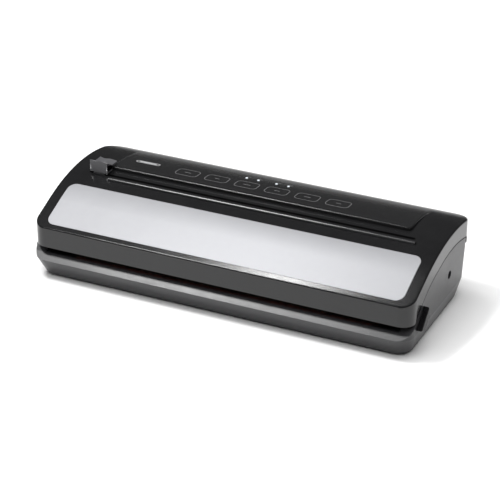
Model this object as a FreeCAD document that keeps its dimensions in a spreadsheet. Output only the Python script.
import FreeCAD, Part
import math
import os
import Sketcher
from FreeCAD import Placement, Rotation, Vector

# A countertop vacuum sealer: base, lifting lid, latches, bag cutter, pump and power inlet.
# Millimetres. X runs along the seal bar, -Y is the front, +Z is up, the feet stand on Z = 0.

SIZES = {
    # overall
    "body_length": 380.0,
    "lip_front": 79.4,
    "base_rear": 76.0,
    "foot_height": 2.0,
    "shell_wall": 2.5,
    "lid_wall": 3.0,
    "part_gap": 0.5,
    "seat_gap": 0.1,
    "split_gap": 1.0,
    # base outline
    "lip_height": 19.8,
    "chamfer_run": 7.5,
    "deck_height": 24.6,
    "front_slope_run": 8.8,
    "rear_slope_run": 8.6,
    "rear_slope_mid": 5.4,
    "rear_slope_top": 50.0,
    "side_draft": 4.5,
    "base_corner": 14.0,
    "base_rear_corner": 18.0,
    "deck_rear": -8.0,
    "housing_front": 3.0,
    "housing_height": 46.0,
    "cheek_width": 12.0,
    "deck_ledge": 2.0,
    "deck_land": 1.0,
    # split line between lid and base
    "split_front_y": -63.9,
    "split_front_z": 31.8,
    "split_mid_y": -10.7,
    "split_mid_z": 59.4,
    "split_rear_rise": 4.6,
    "split_front_bend": 100.0,
    "split_rear_bend": 131.0,
    # lid outline
    "lid_front": -75.2,
    "lid_overhang": 3.4,
    "crown_y": 27.0,
    "crown_height": 80.1,
    "arch_bend": 173.5,
    "front_slope": 22.9,
    "lid_corner": 13.0,
    "lid_rear_corner": 18.0,
    "lid_edge_round": 1.6,
    # hinge
    "hinge_inset": 2.0,
    "hinge_z": 53.0,
    "knuckle_round": 5.4,
    "knuckle_clearance": 0.6,
    "knuckle_roof": 6.5,
    "ear_x": 120.0,
    "ear_width": 14.0,
    "hinge_pin_round": 2.0,
    "pin_reach": 12.0,
    "running_gap": 0.05,
    # front light panel
    "panel_half": 178.5,
    "panel_front": -69.3,
    "panel_back": -18.6,
    "panel_corner": 8.0,
    "panel_thick": 1.3,
    "panel_sink": 0.25,
    "panel_seam": 0.6,
    # control plate
    "plate_left": -152.0,
    "plate_right": 154.0,
    "plate_front": 12.4,
    "plate_back": 66.4,
    "plate_step": 3.5,
    "plate_tail": 0.7,
    "plate_bend": 200.0,
    "plate_corner": 4.0,
    "plate_round": 1.2,
    "plate_leg_x": 102.0,
    "plate_leg_round": 2.0,
    "window_half": 112.0,
    "window_front": 19.0,
    "window_back": 59.0,
    # electronics in the lid
    "board_drop": 13.1,
    "board_thick": 1.6,
    "board_margin": 3.0,
    "key_row_y": 32.4,
    "pad_depth": 10.0,
    "pad_gap": 0.1,
    "light_row_y": 49.1,
    "light_pin_round": 1.2,
    "light_pin_rise": 2.0,
    "light_bar_height": 4.0,
    # lid liner
    "liner_gap": 2.0,
    "liner_rise": 4.0,
    "liner_back": 63.0,
    "liner_wall": 2.0,
    "liner_front": -70.0,
    # cutter
    "groove_y": 2.6,
    "groove_width": 3.0,
    "groove_left": -170.0,
    "groove_right": 162.0,
    "rail_front": -6.2,
    "rail_back": -2.4,
    "rail_height": 2.4,
    "rail_left": -146.0,
    "rail_right": 165.0,
    "slider_x": -159.4,
    "slider_width": 18.4,
    "slider_front": 0.4,
    "slider_step": 10.6,
    "slider_back": 20.4,
    "slider_clear": 0.7,
    "slider_over_plate": 1.6,
    "slider_height": 12.0,
    "slide_gap": 0.3,
    "foot_plate_thick": 2.0,
    "foot_plate_depth": 11.0,
    "blade_thick": 0.4,
    "blade_length": 2.6,
    "blade_drop": 3.6,
    # release buttons and latches
    "button_front_y": -61.2,
    "button_front_z": 24.2,
    "button_rear_y": -44.1,
    "button_rear_z": 40.1,
    "button_bend": 11.9,
    "button_proud": 5.0,
    "button_gap": 0.4,
    "button_round": 1.2,
    "flange_rim": 1.6,
    "flange_thick": 2.0,
    "latch_level": 17.0,
    "latch_thick": 3.0,
    "latch_front": -64.0,
    "latch_back": -48.0,
    "latch_inner": 159.0,
    "hook_x": 169.5,
    "hook_thick": 3.0,
    "hook_front": -60.0,
    "hook_back": -54.0,
    "hook_barb": 2.5,
    "hook_bottom": 12.6,
    "barb_height": 3.6,
    "window_end": 5.5,
    "spring_coil": 2.4,
    "spring_wire": 0.5,
    "spring_pitch": 1.15,
    # sealing parts
    "gasket_half": 160.0,
    "gasket_front": -45.0,
    "gasket_rear": -9.5,
    "gasket_width": 4.0,
    "gasket_height": 3.8,
    "gasket_gap": 0.6,
    "gasket_corner": 8.0,
    "trough_half": 140.0,
    "trough_front": -38.5,
    "trough_rear": -15.5,
    "trough_floor": 12.0,
    "trough_corner": 5.0,
    "tray_wall": 1.4,
    "heater_half": 152.0,
    "heater_front": -62.5,
    "heater_rear": -52.5,
    "heater_height": 3.0,
    "strip_width": 3.0,
    "strip_thick": 0.2,
    "tape_width": 8.0,
    "pressure_gap": 0.5,
    "pressure_width": 7.0,
    # pump
    "pump_left": 92.0,
    "pump_right": 150.0,
    "pump_front": 14.0,
    "pump_rear": 50.0,
    "pump_head_height": 8.5,
    "pump_head_room": 1.0,
    "pump_head_inset": 4.0,
    "motor_round": 12.5,
    "motor_length": 34.0,
    "motor_axis_y": 32.0,
    "motor_axis_z": 21.0,
    "shaft_round": 1.5,
    "shaft_seat": 10.0,
    "crank_round": 9.0,
    "crank_room": 11.0,
    "crank_thick": 6.0,
    "crank_pin_round": 1.5,
    "crank_pin_offset": 3.0,
    "crank_chamber": 14.0,
    "nozzle_x": 128.0,
    "nozzle_z": 17.5,
    "nipple_round": 2.2,
    "nipple_bore": 1.2,
    "hose_round": 3.3,
    "nipple_reach": 6.0,
    "hose_turn": 7.0,
    "hose_rise_y": 6.0,
    # accessory port
    "port_y": 20.4,
    "hose_headroom": 0.2,
    "port_bore": 4.0,
    "port_wall": 2.0,
    "port_depth": 7.0,
    "port_length": 9.0,
    # power
    "board_left": -112.0,
    "board_right": -34.0,
    "board_front": 12.0,
    "board_rear": 60.0,
    "standoff": 5.0,
    "core_left": -20.0,
    "core_length": 48.0,
    "core_front": 14.0,
    "core_depth": 40.0,
    "core_room": 5.0,
    "coil_margin": 7.0,
    "inlet_x": -152.0,
    "inlet_z": 22.0,
    "inlet_width": 24.0,
    "inlet_height": 16.0,
    "inlet_sink": 4.0,
    "inlet_depth": 22.0,
    "inlet_recess": 12.0,
    "inlet_pitch": 8.6,
    "inlet_round": 4.4,
    "inlet_pin_round": 1.2,
    "inlet_tail_round": 0.9,
    "inlet_pin_reach": 9.0,
    "switch_x": -150.0,
    "switch_y": -55.0,
    # underside
    "cover_thick": 2.5,
    "foot_round": 8.0,
    "spigot_round": 3.0,
    "foot_x": 164.0,
    "foot_front": -56.0,
    "foot_rear": 50.0,
    "screw_round": 1.5,
    "screw_head_round": 2.8,
    "screw_head_thick": 1.4,
    "screw_reach": 9.0,
    "screw_gap": 0.15,
    "post_round": 4.0,
    "post_x": 130.0,
    "post_front": -52.5,
    "post_rear": 58.0,
    "lid_post_x": 150.0,
    "lid_post_front": -48.0,
    "lid_post_rear": 56.0,
    "vent_count": 6.0,
    "vent_pitch": 9.0,
    "vent_length": 40.0,
    "vent_width": 3.0,
}

doc = FreeCAD.newDocument("vacuum_sealer")
sheet = doc.addObject("Spreadsheet::Sheet", "Sizes")
for row, (alias, number) in enumerate(SIZES.items(), 1):
    sheet.set("A%d" % row, alias)
    sheet.set("B%d" % row, str(number))
    sheet.setAlias("B%d" % row, alias)
doc.recompute()


class Size:
    """A length that carries its number and the sheet expression that gives it."""

    def __init__(self, value, text):
        self.value = float(value)
        self.text = text

    def __add__(self, other):
        other = size(other)
        return Size(self.value + other.value, "(%s + %s)" % (self.text, other.text))

    def __sub__(self, other):
        other = size(other)
        return Size(self.value - other.value, "(%s - %s)" % (self.text, other.text))

    def __mul__(self, other):
        other = size(other)
        return Size(self.value * other.value, "(%s * %s)" % (self.text, other.text))

    def __truediv__(self, other):
        other = size(other)
        return Size(self.value / other.value, "(%s / %s)" % (self.text, other.text))

    def __neg__(self):
        return self * -1

    def __radd__(self, other):
        return size(other) + self

    def __rsub__(self, other):
        return size(other) - self

    def __rmul__(self, other):
        return size(other) * self


def size(value):
    """Any number as a Size."""
    return value if isinstance(value, Size) else Size(value, repr(float(value)))


def sine(angle):
    return Size(math.sin(math.radians(angle.value)), "sin(%s)" % angle.text)


def cosine(angle):
    return Size(math.cos(math.radians(angle.value)), "cos(%s)" % angle.text)


def tangent(angle):
    return Size(math.tan(math.radians(angle.value)), "tan(%s)" % angle.text)


def root(value):
    return Size(math.sqrt(value.value), "sqrt(%s)" % value.text)


class Named:
    """Every named size of the sheet as an attribute."""


S = Named()
for alias, number in SIZES.items():
    setattr(S, alias, Size(number, "Sizes." + alias))


def bind(item, path, value):
    """Tie one property of an object to the sheet."""
    item.setExpression(path, size(value).text)


def place(item, x=0, y=0, z=0, rotation=None):
    """Put an object at x, y, z, each tied to the sheet."""
    x, y, z = size(x), size(y), size(z)
    item.Placement = Placement(Vector(x.value, y.value, z.value), rotation or Rotation())
    bind(item, "Placement.Base.x", x)
    bind(item, "Placement.Base.y", y)
    bind(item, "Placement.Base.z", z)
    return item


def box(label, x, y, z):
    """A block between two stations on each axis, given in either order."""
    item = doc.addObject("Part::Box", label)
    low = []
    for path, pair in zip(("Length", "Width", "Height"), (x, y, z)):
        first, last = sorted((size(pair[0]), size(pair[1])), key=lambda end: end.value)
        setattr(item, path, last.value - first.value)
        bind(item, path, last - first)
        low.append(first)
    return place(item, *low)


TURNS = {
    "x": Rotation(Vector(0, 1, 0), 90),
    "y": Rotation(Vector(1, 0, 0), -90),
    "z": Rotation(),
}


def rod(label, axis, radius, start, end, across):
    """A cylinder along one axis from start to end, with its two other coordinates in across."""
    start, end = sorted((size(start), size(end)), key=lambda station: station.value)
    item = doc.addObject("Part::Cylinder", label)
    item.Radius = size(radius).value
    item.Height = end.value - start.value
    bind(item, "Radius", radius)
    bind(item, "Height", end - start)
    a, b = across
    spot = {"x": (start, a, b), "y": (a, start, b), "z": (a, b, start)}[axis]
    return place(item, *spot, rotation=TURNS[axis])


def fuse(label, *shapes):
    item = doc.addObject("Part::MultiFuse", label)
    item.Shapes = list(shapes)
    return item


def common(label, *shapes):
    item = doc.addObject("Part::MultiCommon", label)
    item.Shapes = list(shapes)
    return item


def cut(label, base, *tools):
    item = doc.addObject("Part::Cut", label)
    item.Base = base
    item.Tool = tools[0] if len(tools) == 1 else fuse(label + "_tools", *tools)
    return item


def origin_plane(body, role):
    return [plane for plane in body.Origin.OriginFeatures if plane.Role == role][0]


def outline(body, label, role, steps, station=0):
    """A closed sketch: each step is (u, v) or (u, v, bend), the bend of the edge that leaves it.

    A positive bend is an arc that turns left on the way to the next point, a negative one right.
    """
    sketch = body.newObject("Sketcher::SketchObject", label)
    sketch.AttachmentSupport = [(origin_plane(body, role), "")]
    sketch.MapMode = "FlatFace"
    bind(sketch, "AttachmentOffset.Base.z", station)
    points = [(size(step[0]), size(step[1])) for step in steps]
    flat = [Vector(u.value, v.value, 0) for u, v in points]
    ends = []
    for i, step in enumerate(steps):
        a, b = flat[i], flat[(i + 1) % len(steps)]
        if len(step) == 2:
            sketch.addGeometry(Part.LineSegment(a, b), False)
            ends.append((1, 2))
            continue
        bend = size(step[2])
        turn = 1 if bend.value > 0 else -1
        chord = b - a
        left = Vector(-chord.y, chord.x, 0).normalize()
        rise = math.sqrt(max(bend.value ** 2 - (chord.Length / 2) ** 2, 0))
        centre = (a + b) * 0.5 + left * rise * turn
        first, last = (a, b) if turn > 0 else (b, a)
        start = math.atan2(first.y - centre.y, first.x - centre.x)
        stop = math.atan2(last.y - centre.y, last.x - centre.x)
        circle = Part.Circle(centre, Vector(0, 0, 1), abs(bend.value))
        sketch.addGeometry(Part.ArcOfCircle(circle, start, stop), False)
        ends.append((1, 2) if turn > 0 else (2, 1))
    for i in range(len(steps)):
        following = (i + 1) % len(steps)
        sketch.addConstraint(
            Sketcher.Constraint("Coincident", i, ends[i][1], following, ends[following][0])
        )
    for i, (u, v) in enumerate(points):
        for kind, value in (("DistanceX", u), ("DistanceY", v)):
            rule = Sketcher.Constraint(kind, -1, 1, i, ends[i][0], value.value)
            index = sketch.addConstraint(rule)
            sketch.setExpression("Constraints[%d]" % index, value.text)
    for i, step in enumerate(steps):
        if len(step) == 3:
            bend = size(step[2])
            rule = Sketcher.Constraint("Radius", i, abs(bend.value))
            index = sketch.addConstraint(rule)
            sketch.setExpression("Constraints[%d]" % index, "abs(%s)" % bend.text)
    return sketch


def prism(label, role, steps, start, end):
    """An outline padded from one station to another along its plane's normal."""
    start, end = sorted((size(start), size(end)), key=lambda station: station.value)
    body = doc.addObject("PartDesign::Body", label)
    sketch = outline(body, label + "_outline", role, steps, start)
    pad = body.newObject("PartDesign::Pad", label + "_pad")
    pad.Profile = sketch
    pad.Length = end.value - start.value
    bind(pad, "Length", end - start)
    return body


def side_prism(label, steps, start, end):
    """A prism along X from an outline in Y and Z."""
    return prism(label, "YZ_Plane", steps, start, end)


def plan_prism(label, steps, bottom, top):
    """A prism along Z from an outline in X and Y."""
    return prism(label, "XY_Plane", steps, bottom, top)


def rounded(x, y, bend, rear_bend=None):
    """The eight steps of a rectangle with rounded corners, the rear two with their own bend if given."""
    (x0, x1), (y0, y1) = x, y
    bend = size(bend)
    rear = bend if rear_bend is None else size(rear_bend)
    return [
        (x0 + bend, y0),
        (x1 - bend, y0, bend),
        (x1, y0 + bend),
        (x1, y1 - rear, rear),
        (x1 - rear, y1),
        (x0 + rear, y1, rear),
        (x0, y1 - rear),
        (x0, y0 + bend, bend),
    ]


def rounded_block(label, x, y, z, bend, rear_bend=None):
    """A plate or block with rounded upright corners."""
    return plan_prism(label, rounded(x, y, bend, rear_bend), *z)


def both(half):
    """The pair of stations either side of the middle."""
    return (-half, half)


SIDES = (("left", -1), ("right", 1))

half = S.body_length / 2
hinge_y = S.base_rear - S.hinge_inset
lid_rear = S.base_rear + S.lid_overhang
split_rear_z = S.hinge_z + S.split_rear_rise
knuckle_top = S.hinge_z + S.knuckle_roof
board_level = S.crown_height - S.board_drop
liner_level = S.deck_height + S.gasket_height * 2 + S.gasket_gap
liner_rear_level = S.housing_height + S.liner_rise
arch_y = S.crown_y
arch_z = S.crown_height - S.arch_bend


def arch_joint(depth):
    """Where the straight front slope runs into the arch, at a depth under the lid's top."""
    bend = S.arch_bend - depth
    return arch_y - bend * sine(S.front_slope), arch_z + bend * cosine(S.front_slope)


def slope_height(y, depth):
    """Height of the straight front slope at y."""
    joint_y, joint_z = arch_joint(depth)
    return joint_z - (joint_y - y) * tangent(S.front_slope)


def arch_height(y, depth):
    """Height of the arch at y."""
    bend = S.arch_bend - depth
    run = y - arch_y
    return arch_z + root(bend * bend - run * run)


def top_height(y):
    """The lid's top at a plain number y."""
    if y < arch_joint(size(0))[0].value:
        return slope_height(size(y), 0).value
    return arch_height(size(y), 0).value


def arch_steps(front, back, depth):
    """The lid's top line from back to front: the arch, then the straight slope."""
    joint_y, joint_z = arch_joint(depth)
    return [
        (back, arch_height(back, depth), S.arch_bend - depth),
        (joint_y, joint_z),
        (front, slope_height(front, depth)),
    ]


def split_steps(drop):
    """The split line from rear to front, lowered by drop."""
    knuckle_front = hinge_y - S.knuckle_round
    return [
        (knuckle_front, split_rear_z - drop, S.split_rear_bend),
        (S.split_mid_y, S.split_mid_z - drop, S.split_front_bend),
        (S.split_front_y, S.split_front_z - drop),
    ]


def plate_top(y):
    """Height of the control plate's top at its front or back edge."""
    lift = S.plate_step if y is S.plate_front else S.plate_tail
    return arch_height(y, 0) + lift


# Shared stations

base_bottom = S.foot_height
cheek_inner = half - S.cheek_width
deck_under = S.deck_height - S.shell_wall
chamfer_top = -S.lip_front + S.chamfer_run
base_foot_front = -S.lip_front + S.front_slope_run
base_foot_rear = S.base_rear - S.rear_slope_run
cover_top = base_bottom + S.cover_thick
liner_half = cheek_inner - S.liner_gap
tray_rim = S.deck_height - S.part_gap
board_top = board_level + S.board_thick
pump_head_top = S.housing_height - S.shell_wall - S.pump_head_room
pump_height = pump_head_top - S.pump_head_height
port_z = S.housing_height - S.shell_wall - S.hose_headroom - S.hose_round
inlet_face = S.base_rear - S.inlet_sink
slider_base = arch_height(S.slider_step, 0) + S.slider_clear
slider_lift = plate_top(S.plate_front) + S.slider_over_plate
slider_top = slider_base + S.slider_height
pad_top = arch_height(S.key_row_y + S.pad_depth / 2, 0) - S.pad_gap
light_pin_top = arch_height(S.light_row_y, 0) + S.light_pin_rise


def tapered_block(label, inset):
    """The base's plan form: three rounded rectangles joined upwards, all inset by the same wall."""
    body = doc.addObject("PartDesign::Body", label)
    corner = S.base_corner - inset
    rear_corner = S.base_rear_corner - inset
    low_half = half - S.side_draft - inset
    lip_y = -S.lip_front + inset
    sections = [
        (base_bottom, both(low_half), (base_foot_front + inset, base_foot_rear - inset)),
        (S.lip_height, both(half - inset), (lip_y, S.base_rear - S.rear_slope_mid - inset)),
        (S.rear_slope_top, both(half - inset), (lip_y, S.base_rear - inset)),
        (S.crown_height, both(half - inset), (lip_y, S.base_rear - inset)),
    ]
    sketches = []
    for i, (level, x, y) in enumerate(sections):
        steps = rounded(x, y, corner, rear_corner)
        sketches.append(outline(body, "%s_section_%d" % (label, i), "XY_Plane", steps, level))
    loft = body.newObject("PartDesign::AdditiveLoft", label + "_loft")
    loft.Profile = sketches[0]
    loft.Sections = sketches[1:]
    loft.Ruled = True
    return body


def deck_steps(drop, front_inset):
    """Side outline of the base's middle: front lip, low deck, slope and rear housing."""
    front = -S.lip_front - 5
    back = S.base_rear + 5
    return [
        (front, base_bottom - drop),
        (back, base_bottom - drop),
        (back, S.housing_height - drop),
        (S.housing_front + drop * 0.6, S.housing_height - drop),
        (S.deck_rear + drop * 0.6, S.deck_height - drop),
        (chamfer_top + front_inset, S.deck_height - drop),
        (-S.lip_front + front_inset, S.lip_height + front_inset * 0.2),
        (front, S.lip_height + front_inset * 0.2),
    ]


def cheek_steps(drop, front_inset):
    """Side outline of the base's two ends, which rise to the split line."""
    front = -S.lip_front - 5
    back = S.base_rear + 5
    rear_z = split_rear_z - S.split_gap - drop
    steps = [(front, base_bottom - drop), (back, base_bottom - drop), (back, rear_z)]
    steps += split_steps(S.split_gap + drop)
    steps += [
        (chamfer_top + front_inset, S.deck_height - drop),
        (-S.lip_front + front_inset, S.lip_height + front_inset * 0.2),
        (front, S.lip_height + front_inset * 0.2),
    ]
    return steps


def button_steps(grow):
    """The release button's D outline, grown outwards all round."""
    run_y = S.button_rear_y - S.button_front_y
    run_z = S.button_rear_z - S.button_front_z
    chord = root(run_y * run_y + run_z * run_z)
    along_y, along_z = run_y / chord, run_z / chord
    rise = root(S.button_bend * S.button_bend - chord * chord / 4) - grow
    bend = S.button_bend + grow
    reach = root(bend * bend - rise * rise)
    middle_y = (S.button_front_y + S.button_rear_y) / 2 - along_z * grow
    middle_z = (S.button_front_z + S.button_rear_z) / 2 + along_y * grow
    return [
        (middle_y - along_y * reach, middle_z - along_z * reach, bend),
        (middle_y + along_y * reach, middle_z + along_z * reach),
    ]


# ---- Base ----


def base_outer():
    """The whole outside of the base as one filled block."""
    flat = size(0)
    masses = [side_prism("base_middle", deck_steps(flat, flat), *both(half))]
    for side, sign in SIDES:
        ends = (cheek_inner * sign, half * sign)
        masses.append(side_prism("base_cheek_" + side, cheek_steps(flat, flat), *ends))
    return common("base_outer", fuse("base_mass", *masses), tapered_block("base_plan", flat))


def base_hollow():
    """The room inside the base's walls."""
    wall = S.shell_wall
    masses = [side_prism("base_hollow_middle", deck_steps(wall, wall), *both(half - wall))]
    for side, sign in SIDES:
        ends = ((cheek_inner + wall) * sign, (half - wall) * sign)
        masses.append(side_prism("base_hollow_" + side, cheek_steps(wall, wall), *ends))
    room = tapered_block("base_hollow_plan", wall)
    return common("base_hollow", fuse("base_hollow_mass", *masses), room)


def base_fittings():
    """The hinge ears and the screw posts that are moulded with the base."""
    wall = S.shell_wall
    parts = []
    round_end = S.knuckle_round - S.seat_gap * 2
    for side, sign in SIDES:
        ends = ((S.ear_x - S.ear_width / 2) * sign, (S.ear_x + S.ear_width / 2) * sign)
        parts.append(rod("base_ear_round_" + side, "x", round_end, *ends, (hinge_y, S.hinge_z)))
        foot_y = (hinge_y - round_end, S.base_rear - wall / 2)
        parts.append(box("base_ear_foot_" + side, ends, foot_y, (S.housing_height - wall / 2, S.hinge_z)))
        x = S.post_x * sign
        top = deck_under + wall / 2
        parts.append(rod("post_front_" + side, "z", S.post_round, cover_top, top, (x, S.post_front)))
        top = S.housing_height - wall / 2
        parts.append(rod("post_rear_" + side, "z", S.post_round, cover_top, top, (x, S.post_rear)))
    return parts


def deck_opening(name, gap):
    """The stepped opening the seal deck drops into, less a gap; front and rear ledges carry its rim."""
    wide = both(cheek_inner - gap)
    front = chamfer_top + S.shell_wall + gap
    rear = S.deck_rear - S.deck_land - gap
    step_z = S.deck_height - S.shell_wall / 2
    ledge = S.deck_ledge
    rim = box(name + "_rim", wide, (front, rear), (step_z, S.housing_height))
    well = box(name + "_well", wide, (front + ledge, rear - ledge), (cover_top, step_z))
    return fuse(name, rim, well)


def cheek_region(side, sign):
    """The room one end cheek takes: outboard of the deck and above the skirt's crease."""
    wide = (cheek_inner * sign, (half + 5) * sign)
    deep = (-S.lip_front - 5, S.base_rear + 5)
    return box("cheek_region_" + side, wide, deep, (S.lip_height, S.crown_height))


def button_window(side, sign):
    """The hole a release button comes through in the end wall."""
    wall = ((half - S.shell_wall - 1) * sign, (half + 1) * sign)
    return side_prism("button_window_" + side, button_steps(S.button_gap), *wall)


def post_bore(name, spot):
    """The pilot hole for a screw that comes up through the bottom cover."""
    return rod(name, "z", S.screw_round + S.screw_gap, cover_top - 1, cover_top + S.screw_reach, spot)


def base_shell(solid, regions, windows):
    """The main moulding: skirt, front lip and rear housing around the seal deck."""
    tools = [deck_opening("deck_seat", size(0))] + regions + windows
    for side, sign in SIDES:
        pin = ((S.ear_x - S.pin_reach) * sign, (S.ear_x + S.pin_reach) * sign)
        tools.append(rod("ear_bore_" + side, "x", S.hinge_pin_round, *pin, (hinge_y, S.hinge_z)))
        tools.append(post_bore("post_bore_rear_" + side, (S.post_x * sign, S.post_rear)))
    wide = (S.inlet_x - S.inlet_width / 2, S.inlet_x + S.inlet_width / 2)
    tall = (S.inlet_z - S.inlet_height / 2, S.inlet_z + S.inlet_height / 2)
    tools.append(box("inlet_hole", wide, (inlet_face - 10, S.base_rear + 5), tall))
    cut("base_shell", solid, *tools)


def end_cheek(side, sign, solid, region, window):
    """One end of the base above the crease, with its button window and, on the right, the port hole."""
    piece = common("cheek_blank_" + side, solid, region)
    wide = (cheek_inner * sign, (half + 5) * sign)
    sweep = S.knuckle_round + S.knuckle_clearance
    rear_y = (hinge_y - sweep, S.base_rear + 5)
    tools = [
        window,
        rod("hinge_sweep_" + side, "x", sweep, *wide, (hinge_y, S.hinge_z)),
        box("hinge_sweep_back_" + side, wide, rear_y, (S.hinge_z, split_rear_z + 5)),
    ]
    if side == "right":
        port = S.port_bore + S.port_wall
        wall = (half - S.shell_wall - 1, half + 1)
        tools.append(rod("port_hole", "x", port, *wall, (S.port_y, port_z)))
    cut("end_cheek_" + side, piece, *tools)


def trough_block(name, grow, low, high):
    """A rounded block on the trough's outline, this much larger all round."""
    deep = (S.trough_front - grow, S.trough_rear + grow)
    return rounded_block(name, both(S.trough_half + grow), deep, (low, high), S.trough_corner + grow)


def seal_deck(solid):
    """The drop-in deck with the trough's mouth, the latch windows and the front screw posts."""
    tools = [trough_block("trough_mouth", size(0), deck_under - 1, S.deck_height + 5)]
    for side, sign in SIDES:
        wide = ((S.hook_x - S.hook_barb - 3) * sign, (S.hook_x + S.hook_thick + 3) * sign)
        deep = (S.hook_front - 2.5, S.hook_back + 2.5)
        tools.append(box("latch_window_" + side, wide, deep, (deck_under - 1, S.deck_height + 1)))
        tools.append(post_bore("post_bore_front_" + side, (S.post_x * sign, S.post_front)))
    piece = common("deck_blank", solid, deck_opening("deck_outline", S.seat_gap))
    cut("seal_deck", piece, *tools)


def vacuum_trough():
    """The basin welded under the deck's mouth, with the hole its suction nozzle is pressed into."""
    outer = trough_block("trough_outer", S.shell_wall, S.trough_floor - S.shell_wall, deck_under)
    inner = trough_block("trough_inner", size(0), S.trough_floor, deck_under + 1)
    nozzle_ends = (S.trough_rear - 1, S.trough_rear + S.shell_wall + 1)
    hole = rod("nozzle_hole", "y", S.nipple_round, *nozzle_ends, (S.nozzle_x, S.nozzle_z))
    cut("vacuum_trough", outer, inner, hole)


def base_mouldings():
    """The base's shell, end cheeks and seal deck, taken from one walled block, and the trough."""
    walls = cut("base_walls", base_outer(), base_hollow())
    solid = fuse("base_body", walls, *base_fittings())
    regions = [cheek_region(side, sign) for side, sign in SIDES]
    windows = [button_window(side, sign) for side, sign in SIDES]
    base_shell(solid, regions, windows)
    for (side, sign), region, window in zip(SIDES, regions, windows):
        end_cheek(side, sign, solid, region, window)
    seal_deck(solid)
    vacuum_trough()


def bottom_cover():
    inset = S.shell_wall + S.part_gap
    plate = rounded_block(
        "cover_plate",
        both(half - S.side_draft - inset),
        (base_foot_front + inset, base_foot_rear - inset),
        (base_bottom, cover_top),
        S.base_corner - inset,
        S.base_rear_corner - inset,
    )
    tools = []
    for side, sign in SIDES:
        for end, y in (("front", S.post_front), ("rear", S.post_rear)):
            name = "%s_%s" % (end, side)
            spot = (S.post_x * sign, y)
            head = S.screw_head_round + S.screw_gap
            sink = base_bottom + S.screw_head_thick
            shank = S.screw_round + S.screw_gap
            tools.append(rod("cover_sink_" + name, "z", head, base_bottom - 1, sink, spot))
            tools.append(rod("cover_bore_" + name, "z", shank, base_bottom - 1, cover_top + 1, spot))
        for end, y in (("front", S.foot_front), ("rear", S.foot_rear)):
            name = "cover_foot_%s_%s" % (end, side)
            spot = (S.foot_x * sign, y)
            tools.append(rod(name, "z", S.spigot_round, base_bottom - 1, cover_top + 1, spot))
    for i in range(int(SIZES["vent_count"])):
        x = (i - (S.vent_count - 1) / 2) * S.vent_pitch
        tools.append(
            box(
                "vent_%d" % (i + 1),
                (x - S.vent_width / 2, x + S.vent_width / 2),
                both(S.vent_length / 2),
                (base_bottom - 1, cover_top + 1),
            )
        )
    cut("bottom_cover", plate, *tools)


def feet():
    for side, sign in SIDES:
        for end, y in (("front", S.foot_front), ("rear", S.foot_rear)):
            name = "foot_%s_%s" % (end, side)
            spot = (S.foot_x * sign, y)
            pad = rod(name + "_pad", "z", S.foot_round, 0, base_bottom, spot)
            spigot = rod(name + "_spigot", "z", S.spigot_round, base_bottom / 2, cover_top, spot)
            fuse(name, pad, spigot)


def screw(name, spot, under_head, top):
    """A pan-head screw that drives upwards: its head below under_head, its shank up to top."""
    low = under_head - S.screw_head_thick
    head = rod(name + "_head", "z", S.screw_head_round, low, under_head, spot)
    shank = rod(name + "_shank", "z", S.screw_round, low + S.screw_head_thick / 2, top, spot)
    slot_z = (low - 1, low + S.screw_head_thick / 2)
    across = S.screw_round * 1.2
    x, y = spot
    slots = [
        box(name + "_slot_x", (x - across, x + across), (y - 0.35, y + 0.35), slot_z),
        box(name + "_slot_y", (x - 0.35, x + 0.35), (y - across, y + across), slot_z),
    ]
    cut(name, fuse(name + "_body", head, shank), *slots)


def base_screws():
    under_head = base_bottom + S.screw_head_thick
    top = cover_top + S.screw_reach - S.screw_gap * 4
    for side, sign in SIDES:
        for end, y in (("front", S.post_front), ("rear", S.post_rear)):
            screw("base_screw_%s_%s" % (end, side), (S.post_x * sign, y), under_head, top)


def drip_tray():
    gap = S.part_gap
    outer = rounded_block(
        "tray_outer",
        both(S.trough_half - gap),
        (S.trough_front + gap, S.trough_rear - gap),
        (S.trough_floor, tray_rim),
        S.trough_corner - gap,
    )
    wall = gap + S.tray_wall
    inner = rounded_block(
        "tray_inner",
        both(S.trough_half - wall),
        (S.trough_front + wall, S.trough_rear - wall),
        (S.trough_floor + S.tray_wall, tray_rim + 5),
        S.trough_corner - wall,
    )
    reach = S.nipple_round + gap
    notch_y = (S.trough_rear - S.nipple_reach, S.trough_rear + 1)
    notch = rod("tray_notch_round", "y", reach, *notch_y, (S.nozzle_x, S.nozzle_z))
    slot = box(
        "tray_notch_slot",
        (S.nozzle_x - reach, S.nozzle_x + reach),
        (S.trough_rear - S.tray_wall - gap - 1, S.trough_rear + 1),
        (S.nozzle_z, tray_rim + 5),
    )
    cut("drip_tray", outer, inner, notch, slot)


def gasket(label, bottom, top):
    """A rounded ring of soft foam around the vacuum trough."""
    y = (S.gasket_front, S.gasket_rear)
    outer = rounded_block(label + "_outer", both(S.gasket_half), y, (bottom, top), S.gasket_corner)
    width = S.gasket_width
    inner = rounded_block(
        label + "_inner",
        both(S.gasket_half - width),
        (S.gasket_front + width, S.gasket_rear - width),
        (bottom - 1, top + 1),
        S.gasket_corner - width,
    )
    cut(label, outer, inner)


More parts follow.
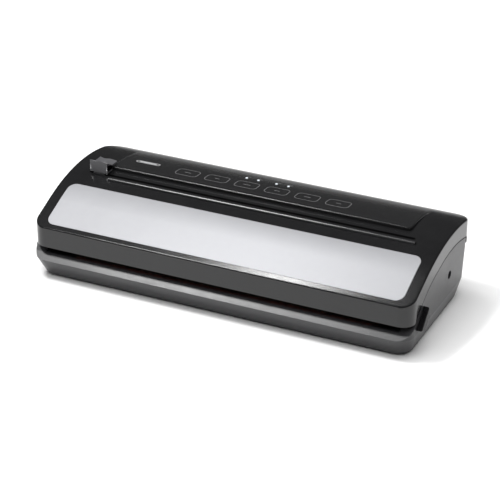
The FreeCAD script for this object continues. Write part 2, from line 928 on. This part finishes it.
def seal_bar():
    top = S.deck_height + S.heater_height
    depth = (S.heater_front, S.heater_rear)
    box("heater_bar", both(S.heater_half), depth, (S.deck_height, top))
    middle = (S.heater_front + S.heater_rear) / 2
    strip_top = top + S.strip_thick
    strip_y = (middle - S.strip_width / 2, middle + S.strip_width / 2)
    box("heating_strip", both(S.heater_half - 2), strip_y, (top, strip_top))
    tape_y = (middle - S.tape_width / 2, middle + S.tape_width / 2)
    tape = box("release_tape_sheet", both(S.heater_half), tape_y, (top, strip_top + S.strip_thick))
    groove = box("release_tape_groove", both(S.heater_half - 2), strip_y, (top - 1, strip_top))
    cut("release_tape", tape, groove)
    low = strip_top + S.strip_thick + S.pressure_gap
    press_y = (middle - S.pressure_width / 2, middle + S.pressure_width / 2)
    box("pressure_strip", both(S.heater_half), press_y, (low, liner_level))


# ---- Release buttons ----


def release_side(side, sign):
    outer = half - S.shell_wall
    flange_out = outer - S.part_gap
    flange_in = flange_out - S.flange_thick
    face = side_prism(
        "button_face_" + side,
        button_steps(size(0)),
        flange_in * sign,
        (half + S.button_proud) * sign,
    )
    flange = side_prism(
        "button_flange_" + side,
        button_steps(S.flange_rim),
        flange_in * sign,
        flange_out * sign,
    )
    blank = fuse("button_blank_" + side, face, flange)
    doc.recompute()
    tip = half.value + S.button_proud.value
    rim = [
        i
        for i, edge in enumerate(blank.Shape.Edges, 1)
        if abs(abs(edge.BoundBox.XMin) - tip) < 0.01 and abs(abs(edge.BoundBox.XMax) - tip) < 0.01
    ]
    item = doc.addObject("Part::Fillet", "release_button_" + side)
    item.Base = blank
    item.Edges = [(i, SIZES["button_round"], SIZES["button_round"]) for i in rim]
    tab_out = flange_in
    tab_in = tab_out - S.tray_wall
    low = S.latch_level
    high = S.latch_level + S.latch_thick
    depth = (S.latch_front, S.latch_back)
    frame = box("latch_frame_" + side, (S.latch_inner * sign, tab_out * sign), depth, (low, high))
    tab = box(
        "latch_tab_" + side,
        (tab_in * sign, tab_out * sign),
        (S.hook_front, S.hook_back),
        (low, S.button_front_z),
    )
    gap = S.slide_gap * 2
    window = box(
        "latch_opening_" + side,
        ((S.hook_x - S.hook_barb - gap) * sign, (S.hook_x + S.hook_thick + S.window_end) * sign),
        (S.hook_front - S.liner_gap, S.hook_back + S.liner_gap),
        (low - 1, high + 1),
    )
    cut("latch_slide_" + side, fuse("latch_blank_" + side, frame, tab), window)
    spring_out = flange_in
    coil = doc.addObject("Part::Helix", "spring_path_" + side)
    coil.Pitch = SIZES["spring_pitch"]
    start = cheek_inner + S.shell_wall + S.spring_wire / 2
    length = spring_out - S.spring_wire / 2 - start
    coil.Height = length.value
    coil.Radius = SIZES["spring_coil"]
    bind(coil, "Pitch", S.spring_pitch)
    bind(coil, "Height", length)
    bind(coil, "Radius", S.spring_coil)
    wire = doc.addObject("Part::RegularPolygon", "spring_wire_" + side)
    wire.Polygon = 4
    bind(wire, "Circumradius", S.spring_wire / 2)
    wire.Placement = Placement(Vector(SIZES["spring_coil"], 0, 0), Rotation(Vector(1, 0, 0), 90))
    bind(wire, "Placement.Base.x", S.spring_coil)
    spring = doc.addObject("Part::Sweep", "button_spring_" + side)
    spring.Sections = [wire]
    spring.Spine = (coil, ["Edge1"])
    spring.Solid = True
    spring.Frenet = True
    middle_y = (S.button_front_y + S.button_rear_y) / 2 + 3
    middle_z = (S.button_front_z + S.button_rear_z) / 2 - 1
    at = start if sign > 0 else -(start + length)
    place(spring, at, middle_y, middle_z, TURNS["x"])


def latch_hook(side, sign):
    top = liner_level
    stem = box(
        "hook_stem_" + side,
        (S.hook_x * sign, (S.hook_x + S.hook_thick) * sign),
        (S.hook_front, S.hook_back),
        (S.hook_bottom, top),
    )
    barb_top = S.hook_bottom + S.barb_height
    barb_in = S.hook_x - S.hook_barb
    barb = box(
        "hook_barb_" + side,
        (barb_in * sign, (S.hook_x + S.hook_thick / 2) * sign),
        (S.hook_front, S.hook_back),
        (S.hook_bottom, barb_top),
    )
    pad = box(
        "hook_pad_" + side,
        ((S.hook_x - 3) * sign, (S.hook_x + S.hook_thick + 1.5) * sign),
        (S.hook_front - 1.5, S.hook_back + 1.5),
        (top - 2.5, top),
    )
    fuse("latch_hook_" + side, stem, barb, pad)


# ---- Pump and air path ----


def pump():
    across = (S.motor_axis_y, S.motor_axis_z)
    block = rounded_block(
        "pump_block",
        (S.pump_left, S.pump_right),
        (S.pump_front, S.pump_rear),
        (cover_top, pump_height),
        3,
    )
    chamber_end = S.pump_left + S.crank_chamber
    chamber = rod("pump_chamber", "x", S.crank_room, S.pump_left - 1, chamber_end, across)
    cut("pump_body", block, chamber)
    inset = S.pump_head_inset
    head = rounded_block(
        "pump_head_block",
        (S.pump_left + S.crank_chamber, S.pump_right - inset),
        (S.pump_front + inset, S.pump_rear - inset),
        (pump_height, pump_head_top),
        3,
    )
    front = S.pump_front + inset
    front_nipple = rod(
        "pump_nipple_front",
        "y",
        S.nipple_round,
        front - S.nipple_reach,
        front + 2,
        (S.nozzle_x, port_z),
    )
    side_end = S.pump_right - inset
    side_nipple = rod(
        "pump_nipple_side",
        "x",
        S.nipple_round,
        side_end - 2,
        side_end + S.nipple_reach,
        (S.port_y, port_z),
    )
    fuse("pump_head", head, front_nipple, side_nipple)
    motor_left = S.pump_left - S.motor_length
    can = rod("motor_can", "x", S.motor_round, motor_left, S.pump_left, across)
    cap = rod("motor_cap", "x", S.motor_round - 3, motor_left - 3, motor_left + 1, across)
    bore = rod(
        "motor_bore",
        "x",
        S.shaft_round + S.running_gap,
        S.pump_left - S.shaft_seat,
        S.pump_left + 1,
        across,
    )
    cut("pump_motor", fuse("motor_body", can, cap), bore)
    disc_start = S.pump_left + S.spigot_round
    disc_end = disc_start + S.crank_thick
    shaft = rod(
        "crank_shaft",
        "x",
        S.shaft_round,
        S.pump_left - S.shaft_seat + S.part_gap,
        disc_start + 1,
        across,
    )
    disc = rod("crank_disc", "x", S.crank_round, disc_start, disc_end, across)
    pin = rod(
        "crank_pin",
        "x",
        S.crank_pin_round,
        disc_end - 1,
        disc_end + S.spigot_round,
        (S.motor_axis_y, S.motor_axis_z + S.crank_pin_offset),
    )
    fuse("pump_crank", shaft, disc, pin)


def vacuum_inlet():
    spot = (S.nozzle_x, S.nozzle_z)
    start = S.trough_rear - 2.5
    end = S.trough_rear + S.shell_wall + S.nipple_reach
    tube = rod("nozzle_tube", "y", S.nipple_round, start, end, spot)
    collar_start = S.trough_rear + S.shell_wall
    collar = rod("nozzle_collar", "y", S.nipple_round + 1.2, collar_start, collar_start + 1.2, spot)
    bore = rod("nozzle_bore", "y", S.nipple_bore, start - 1, end + 1, spot)
    cut("vacuum_inlet", fuse("nozzle_body", tube, collar), bore)


def hose_ring(body, label, role, station, spot):
    """The hose's round section: an outer circle and a bore that slips over a nipple."""
    sketch = body.newObject("Sketcher::SketchObject", label)
    sketch.AttachmentSupport = [(origin_plane(body, role), "")]
    sketch.MapMode = "FlatFace"
    bind(sketch, "AttachmentOffset.Base.z", station)
    u, v = spot
    for i, radius in enumerate((S.hose_round, S.nipple_round + S.running_gap)):
        centre = Vector(size(u).value, size(v).value, 0)
        sketch.addGeometry(Part.Circle(centre, Vector(0, 0, 1), radius.value), False)
        rules = (
            Sketcher.Constraint("DistanceX", -1, 1, i, 3, size(u).value),
            Sketcher.Constraint("DistanceY", -1, 1, i, 3, size(v).value),
            Sketcher.Constraint("Radius", i, radius.value),
        )
        for rule, value in zip(rules, (u, v, radius)):
            index = sketch.addConstraint(rule)
            sketch.setExpression("Constraints[%d]" % index, size(value).text)
    return sketch


def air_hose():
    body = doc.addObject("PartDesign::Body", "air_hose")
    start = S.trough_rear + S.shell_wall + 1.2 + S.part_gap
    finish = S.pump_front + S.pump_head_inset - S.part_gap
    turn = S.hose_turn
    rise = S.hose_rise_y
    path = body.newObject("Sketcher::SketchObject", "air_hose_path")
    path.AttachmentSupport = [(origin_plane(body, "YZ_Plane"), "")]
    path.MapMode = "FlatFace"
    bind(path, "AttachmentOffset.Base.z", S.nozzle_x)
    steps = [
        (start, S.nozzle_z),
        (rise - turn, S.nozzle_z, 1),
        (rise, S.nozzle_z + turn),
        (rise, port_z - turn, -1),
        (rise + turn, port_z),
        (finish, port_z),
    ]
    flat = [Vector(size(s[0]).value, size(s[1]).value, 0) for s in steps]
    for i in range(5):
        a, b = flat[i], flat[i + 1]
        if len(steps[i]) == 2:
            path.addGeometry(Part.LineSegment(a, b), False)
            continue
        corner = Vector(b.x, a.y, 0) if steps[i][2] > 0 else Vector(a.x, b.y, 0)
        other = a + b - corner
        middle = other + (corner - other).normalize() * turn.value
        path.addGeometry(Part.Arc(a, middle, b), False)
    names = []
    for i, step in enumerate(steps[:-1]):
        first = (path.getPoint(i, 1) - flat[i]).Length < 1e-6
        names.append((1, 2) if first else (2, 1))
    for i in range(4):
        path.addConstraint(Sketcher.Constraint("Coincident", i, names[i][1], i + 1, names[i + 1][0]))
    for i, step in enumerate(steps):
        edge, end = (i, names[i][0]) if i < 5 else (4, names[4][1])
        for kind, value in (("DistanceX", size(step[0])), ("DistanceY", size(step[1]))):
            index = path.addConstraint(Sketcher.Constraint(kind, -1, 1, edge, end, value.value))
            path.setExpression("Constraints[%d]" % index, value.text)
    for i in (1, 3):
        index = path.addConstraint(Sketcher.Constraint("Radius", i, turn.value))
        path.setExpression("Constraints[%d]" % index, turn.text)
    ring = hose_ring(body, "air_hose_ring", "XZ_Plane", -start, (S.nozzle_x, S.nozzle_z))
    pipe = body.newObject("PartDesign::AdditivePipe", "air_hose_pipe")
    pipe.Profile = ring
    pipe.Spine = (path, [])


def port():
    spot = (S.port_y, port_z)
    inner = half - S.port_length
    round_out = S.port_bore + S.port_wall
    cup = rod("port_cup", "x", round_out, inner, half, spot)
    nipple = rod("port_nipple", "x", S.nipple_round, inner - S.nipple_reach, inner + 1, spot)
    bore = rod("port_mouth", "x", S.port_bore, half - S.port_depth, half + 1, spot)
    vent = rod("port_vent", "x", S.nipple_bore, inner - S.nipple_reach - 1, half, spot)
    cut("accessory_port", fuse("port_body", cup, nipple), bore, vent)
    start = S.pump_right - S.pump_head_inset + S.part_gap
    finish = inner - S.part_gap
    tube = rod("port_hose_tube", "x", S.hose_round, start, finish, spot)
    hollow = rod("port_hose_bore", "x", S.nipple_round + S.running_gap, start - 1, finish + 1, spot)
    cut("port_hose", tube, hollow)


# ---- Power ----


def power():
    low = cover_top + S.standoff
    top = low + S.board_thick
    board_y = (S.board_front, S.board_rear)
    board = box("power_sheet", (S.board_left, S.board_right), board_y, (low, top))
    left, right, front = S.board_left, S.board_right, S.board_front
    stands = low + 1
    relay = box("power_relay", (left + 6, left + 25), (front + 5, front + 20), (stands, top + 15))
    capacitor = rod("power_capacitor", "z", 6, stands, top + 20, (left + 40, front + 14))
    sink = box("power_heatsink", (right - 24, right - 20), (front + 6, front + 30), (stands, top + 22))
    plug = box("power_connector", (right - 14, right - 5), (front + 6, front + 28), (stands, top + 9))
    legs = []
    for side, x in (("left", left + 5), ("right", right - 5)):
        for end, y in (("front", front + 40), ("rear", S.board_rear - 4)):
            name = "power_leg_%s_%s" % (end, side)
            legs.append(rod(name, "z", 2.5, cover_top, low + 0.5, (x, y)))
    fuse("power_board", board, relay, capacitor, sink, plug, *legs)
    core_right = S.core_left + S.core_length
    core_back = S.core_front + S.core_depth
    core_top = S.housing_height - S.shell_wall - S.core_room
    core = box("core_stack", (S.core_left, core_right), (S.core_front, core_back), (cover_top, core_top))
    margin = S.coil_margin
    coil_x = (S.core_left + margin, core_right - margin)
    coil_y = (S.core_front - margin / 2, core_back + margin / 2)
    coil = box("core_coil", coil_x, coil_y, (cover_top + margin, core_top - margin))
    fuse("transformer", core, coil)


def mains_inlet():
    x, z, face = S.inlet_x, S.inlet_z, inlet_face
    gap = S.seat_gap
    wide = (x - S.inlet_width / 2 + gap, x + S.inlet_width / 2 - gap)
    tall = (z - S.inlet_height / 2 + gap, z + S.inlet_height / 2 - gap)
    body = box("inlet_block", wide, (face - S.inlet_depth, face), tall)
    mouth = (face - S.inlet_recess, face + 1)
    tools = []
    for side, sign in SIDES:
        spot = (x + S.inlet_pitch / 2 * sign, z)
        tools.append(rod("inlet_mouth_" + side, "y", S.inlet_round, *mouth, spot))
        root_y = face - S.inlet_recess
        tip = rod("pin_tip_" + side, "y", S.inlet_pin_round, root_y, root_y + S.inlet_pin_reach, spot)
        tail_ends = (face - S.inlet_depth - 4, root_y + 1)
        tail = rod("pin_tail_" + side, "y", S.inlet_tail_round, *tail_ends, spot)
        fuse("inlet_pin_" + side, tip, tail)
        bore_ends = (face - S.inlet_depth - 1, root_y + 1)
        tools.append(rod("inlet_bore_" + side, "y", S.inlet_tail_round, *bore_ends, spot))
    tools.append(
        box(
            "inlet_mouth_middle",
            (x - S.inlet_pitch / 2, x + S.inlet_pitch / 2),
            mouth,
            (z - S.inlet_round, z + S.inlet_round),
        )
    )
    cut("mains_inlet", body, *tools)


def lid_switch():
    x, y = S.switch_x, S.switch_y
    low = cover_top
    block = box("switch_block", (x - 10, x + 10), (y - 3, y + 3), (low, low + 11))
    lever = box("switch_lever", (x - 8, x + 9), (y - 1.5, y + 1.5), (low + 10.5, low + 12))
    fuse("lid_switch", block, lever)


def hinge_pin(side, sign):
    ends = ((S.ear_x - S.pin_reach + S.part_gap) * sign, (S.ear_x + S.pin_reach - S.part_gap) * sign)
    rod("hinge_pin_" + side, "x", S.hinge_pin_round, *ends, (hinge_y, S.hinge_z))


# ---- Lid ----


def lid_steps():
    """Side outline of the lid, longer than its plan form at the front and the rear."""
    knuckle = S.knuckle_round
    front = S.lid_front - S.lid_wall
    back = lid_rear + S.lid_wall
    split_rear, split_mid, split_front = split_steps(size(0))
    return arch_steps(front, back, size(0)) + [
        (front, S.split_front_z),
        (split_front[0], split_front[1], -S.split_front_bend),
        (split_mid[0], split_mid[1], -S.split_rear_bend),
        (split_rear[0], split_rear[1]),
        (hinge_y - knuckle, S.hinge_z, knuckle),
        (hinge_y, S.hinge_z - knuckle, knuckle),
        (hinge_y + knuckle, S.hinge_z),
        (back, S.hinge_z),
    ]


def lid_plan(label, inset):
    """The lid's plan form as an upright block."""
    return rounded_block(
        label,
        both(half - inset),
        (S.lid_front + inset, lid_rear - inset),
        (base_bottom, slider_top),
        S.lid_corner - inset,
        S.lid_rear_corner - inset,
    )


def panel_band(label, grow, top_depth, bottom_depth):
    """A curved sheet under the lid's top, inside the light panel's outline."""
    front = S.panel_front - grow
    back = S.panel_back + grow
    reach = 4
    upper = arch_steps(front - reach, back + reach, top_depth)
    lower = arch_steps(front - reach, back + reach, bottom_depth)
    lower_bend = S.arch_bend - bottom_depth
    steps = upper + [lower[2], (lower[1][0], lower[1][1], -lower_bend), (lower[0][0], lower[0][1])]
    sheet_form = side_prism(label + "_sheet", steps, *both(half))
    plan = rounded_block(
        label + "_plan",
        both(S.panel_half + grow),
        (front, back),
        (base_bottom, slider_top),
        S.panel_corner + grow,
    )
    return common(label, sheet_form, plan)


def lid_shell(rail):
    side_form = side_prism("lid_side", lid_steps(), *both(half))
    blank = common("lid_blank", side_form, lid_plan("lid_plan", size(0)))
    doc.recompute()
    seam_y = arch_joint(size(0))[0].value
    rim = []
    for i, edge in enumerate(blank.Shape.Edges, 1):
        middle = edge.valueAt((edge.FirstParameter + edge.LastParameter) / 2)
        on_seam = abs(middle.y - seam_y) < 0.01 and edge.BoundBox.XLength > 1
        if abs(middle.z - top_height(middle.y)) < 0.01 and not on_seam:
            rim.append(i)
    smooth = doc.addObject("Part::Fillet", "lid_smooth")
    smooth.Base = blank
    smooth.Edges = [(i, SIZES["lid_edge_round"], SIZES["lid_edge_round"]) for i in rim]
    wall = S.lid_wall
    inner_rear = lid_rear - wall
    knuckle_front = hinge_y - S.knuckle_round - wall
    hollow_steps = arch_steps(S.lid_front, inner_rear, wall) + [
        (S.lid_front, base_bottom),
        (knuckle_front, base_bottom),
        (knuckle_front, knuckle_top),
        (inner_rear, knuckle_top),
    ]
    hollow = common(
        "lid_hollow",
        side_prism("lid_hollow_side", hollow_steps, *both(half - wall)),
        lid_plan("lid_hollow_plan", wall),
    )
    walls = cut("lid_walls", smooth, hollow)
    posts = []
    bores = []
    for side, sign in SIDES:
        for end, y, level in (
            ("front", S.lid_post_front, liner_level),
            ("rear", S.lid_post_rear, liner_rear_level),
        ):
            name = "%s_%s" % (end, side)
            spot = (S.lid_post_x * sign, y)
            low = level + S.liner_wall
            top = (slope_height(y, wall) if end == "front" else arch_height(y, wall)) + wall / 2
            posts.append(rod("lid_post_" + name, "z", S.post_round, low, top, spot))
            shank = S.screw_round + S.screw_gap
            bores.append(rod("lid_bore_" + name, "z", shank, low - 1, low + S.screw_reach, spot))
    solid = fuse("lid_body", walls, *posts)
    tools = bores + [rail]
    tools.append(panel_band("panel_recess", S.panel_seam, size(-3), S.panel_sink + S.panel_thick))
    tools.append(
        box(
            "lid_window",
            both(S.window_half),
            (S.window_front, S.window_back),
            (board_level, slider_top),
        )
    )
    tools.append(
        box(
            "cutter_groove",
            (S.groove_left, S.groove_right),
            (S.groove_y - S.groove_width / 2, S.groove_y + S.groove_width / 2),
            (board_level, slider_top),
        )
    )
    for side, sign in SIDES:
        notch = S.ear_width / 2 + S.part_gap
        tools.append(
            box(
                "ear_notch_" + side,
                ((S.ear_x - notch) * sign, (S.ear_x + notch) * sign),
                (hinge_y - S.knuckle_round - wall - 1, lid_rear + 1),
                (S.hinge_z - S.knuckle_round - 1, knuckle_top),
            )
        )
        pin = ((S.ear_x - S.pin_reach) * sign, (S.ear_x + S.pin_reach) * sign)
        bore = S.hinge_pin_round + S.running_gap
        tools.append(rod("lid_pin_bore_" + side, "x", bore, *pin, (hinge_y, S.hinge_z)))
    cut("lid_shell", solid, *tools)


def lid_panel():
    panel_band("lid_panel", size(0), S.panel_sink, S.panel_sink + S.panel_thick)


LIGHTS = (-26.2, -14.0, 4.8, 17.2)


def control_plate():
    front, back = S.plate_front, S.plate_back
    steps = [
        (back, plate_top(back), S.plate_bend),
        (front, plate_top(front)),
        (front, arch_height(front, 0), -S.arch_bend),
        (back, arch_height(back, 0)),
    ]
    sides = (S.plate_left, S.plate_right)
    slab = side_prism("plate_slab", steps, *sides)
    tall = (board_level, slider_top)
    plan = rounded_block("plate_plan", sides, (front, back), tall, S.plate_corner)
    blank = common("plate_blank", slab, plan)
    doc.recompute()
    rim = []
    for i, edge in enumerate(blank.Shape.Edges, 1):
        middle = edge.valueAt((edge.FirstParameter + edge.LastParameter) / 2)
        near_front = middle.y < front.value + S.plate_corner.value
        if near_front and middle.z > top_height(middle.y) + S.plate_step.value / 2:
            if edge.BoundBox.ZLength < S.plate_step.value / 2:
                rim.append(i)
    smooth = doc.addObject("Part::Fillet", "plate_smooth")
    smooth.Base = blank
    smooth.Edges = [(i, SIZES["plate_round"], SIZES["plate_round"]) for i in rim]
    holes = []
    for i, x in enumerate(LIGHTS, 1):
        hole = S.light_pin_round + S.running_gap
        holes.append(rod("plate_light_%d" % i, "z", hole, *tall, (x, S.light_row_y)))
    legs = []
    for side, sign in SIDES:
        for end, y in (("front", S.window_front + 6), ("rear", S.window_back - 6)):
            name = "plate_leg_%s_%s" % (end, side)
            top = arch_height(y, -0.5)
            spot = (S.plate_leg_x * sign, y)
            legs.append(rod(name, "z", S.plate_leg_round, board_top, top, spot))
    cut("control_plate", fuse("plate_body", smooth, *legs), *holes)


def lid_electronics():
    m = S.board_margin
    board_x = both(S.window_half - m)
    board_y = (S.window_front + m, S.window_back - m)
    top = board_top
    box("control_board", board_x, board_y, (board_level, top))
    pad_y = (S.key_row_y - S.pad_depth / 2, S.key_row_y + S.pad_depth / 2)
    box("touch_pads", both(S.window_half - m - 10), pad_y, (top, pad_top))
    bar_top = top + S.light_bar_height
    row_y = (S.light_row_y - 2, S.light_row_y + 2)
    bar = box("light_bar", (LIGHTS[0] - 4, LIGHTS[-1] + 4), row_y, (top, bar_top))
    pins = [
        rod("light_pin_%d" % i, "z", S.light_pin_round, bar_top - 1, light_pin_top, (x, S.light_row_y))
        for i, x in enumerate(LIGHTS, 1)
    ]
    fuse("light_guide", bar, *pins)


def lid_liner():
    low, high, wall = liner_level, liner_rear_level, S.liner_wall
    front, back = S.liner_front, S.liner_back
    slope_start, slope_end = S.deck_rear, S.housing_front
    depth = S.lid_wall + S.slide_gap
    outer_steps = arch_steps(front, back, depth) + [
        (front, low),
        (slope_start - 1, low),
        (slope_end - 1, high),
        (back, high),
    ]
    outer = side_prism("liner_outer", outer_steps, *both(liner_half))
    inner_steps = [
        (front + wall, low + wall),
        (slope_start - 1 - wall / 2, low + wall),
        (slope_end - 1 - wall / 2, high + wall),
        (back - wall, high + wall),
        (back - wall, slider_top),
        (front + wall, slider_top),
    ]
    inner = side_prism("liner_inner", inner_steps, *both(liner_half - wall))
    tools = [inner]
    for side, sign in SIDES:
        for end, y, level in (("front", S.lid_post_front, low), ("rear", S.lid_post_rear, high)):
            name = "liner_bore_%s_%s" % (end, side)
            spot = (S.lid_post_x * sign, y)
            tools.append(rod(name, "z", S.screw_round + S.screw_gap, level - 1, level + wall + 1, spot))
    cut("lid_liner", outer, *tools)
    for side, sign in SIDES:
        for end, y, level in (("front", S.lid_post_front, low), ("rear", S.lid_post_rear, high)):
            top = level + wall + S.screw_reach - S.screw_gap * 4
            screw("lid_screw_%s_%s" % (end, side), (S.lid_post_x * sign, y), level, top)


def cutter_rail():
    front, back = S.rail_front, S.rail_back
    foot = S.lid_wall / 2
    steps = [
        (back, arch_height(back, 0) - foot),
        (back, arch_height(back, 0) + S.rail_height / 2, S.rail_height),
        (front, arch_height(front, 0) + S.rail_height / 2),
        (front, arch_height(front, 0) - foot),
    ]
    return side_prism("cutter_rail", steps, S.rail_left, S.rail_right)


def cutter():
    sides = (S.slider_x - S.slider_width / 2, S.slider_x + S.slider_width / 2)
    body = doc.addObject("PartDesign::Body", "slider_form")
    profile = [
        (S.slider_front, slider_base),
        (S.slider_step, slider_base),
        (S.slider_step, slider_lift),
        (S.slider_back, slider_lift),
        (S.slider_back, slider_top - 3),
        (S.slider_step, slider_top - 1.2, 14),
        (S.slider_front, slider_top),
    ]
    sketch = outline(body, "slider_outline", "YZ_Plane", profile, sides[0])
    pad = body.newObject("PartDesign::Pad", "slider_pad")
    pad.Profile = sketch
    bind(pad, "Length", S.slider_width)
    stem = S.groove_width / 2 - S.slide_gap
    arm = box(
        "slider_stem",
        (sides[0] + 3, sides[1] - 3),
        (S.groove_y - stem, S.groove_y + stem),
        (arch_height(S.groove_y, S.lid_wall) - 3, slider_base + 1),
    )
    fuse("cutter_slider", body, arm)
    top = arch_height(S.groove_y, S.lid_wall) - S.slide_gap - 1.0
    plate_y = (S.groove_y - S.foot_plate_depth / 2, S.groove_y + S.foot_plate_depth / 2)
    foot_plate = box("slider_foot_plate", sides, plate_y, (top - S.foot_plate_thick, top))
    slot = box(
        "slider_foot_slot",
        (sides[0] + 3, sides[1] - 3),
        (S.groove_y - stem, S.groove_y + stem),
        (top - S.foot_plate_thick - 1, top + 1),
    )
    cut("slider_foot", foot_plate, slot)
    heel = sides[1] - 3
    tip = heel + S.blade_length
    edge = [
        (heel, slider_base - S.blade_drop),
        (tip, slider_base - 1),
        (tip, slider_base),
        (heel, slider_base),
    ]
    thick = S.blade_thick / 2
    prism("cutter_blade", "XZ_Plane", edge, -S.groove_y - thick, -S.groove_y + thick)


base_mouldings()
bottom_cover()
feet()
base_screws()
drip_tray()
gasket("lower_gasket", S.deck_height, S.deck_height + S.gasket_height)
gasket("upper_gasket", liner_level - S.gasket_height, liner_level)
seal_bar()
for side, sign in SIDES:
    release_side(side, sign)
    latch_hook(side, sign)
    hinge_pin(side, sign)
pump()
vacuum_inlet()
air_hose()
port()
power()
mains_inlet()
lid_switch()
lid_shell(cutter_rail())
lid_panel()
control_plate()
lid_electronics()
lid_liner()
cutter()

NODES = (
    "base_shell seal_deck vacuum_trough end_cheek_left end_cheek_right bottom_cover drip_tray "
    "lower_gasket heater_bar heating_strip release_tape "
    "hinge_pin_left hinge_pin_right pump_body pump_head pump_motor pump_crank vacuum_inlet air_hose "
    "accessory_port port_hose power_board transformer mains_inlet inlet_pin_left inlet_pin_right "
    "lid_switch release_button_left release_button_right latch_slide_left latch_slide_right "
    "button_spring_left button_spring_right foot_front_left foot_front_right foot_rear_left "
    "foot_rear_right base_screw_front_left base_screw_front_right base_screw_rear_left "
    "base_screw_rear_right lid_shell lid_panel lid_liner control_plate control_board touch_pads "
    "light_guide upper_gasket pressure_strip latch_hook_left latch_hook_right cutter_rail "
    "cutter_slider cutter_blade slider_foot lid_screw_front_left lid_screw_front_right "
    "lid_screw_rear_left lid_screw_rear_right"
).split()

doc.recompute()
for item in doc.Objects:
    if "Invalid" in item.State or "Error" in item.State:
        raise RuntimeError("%s did not build: %s" % (item.Label, item.State))
os.makedirs("parts", exist_ok=True)
for name in NODES:
    shape = doc.getObject(name).Shape
    if shape.isNull() or not shape.isValid():
        raise RuntimeError("%s has no valid shape" % name)
    shape.exportStep("parts/%s.step" % name)
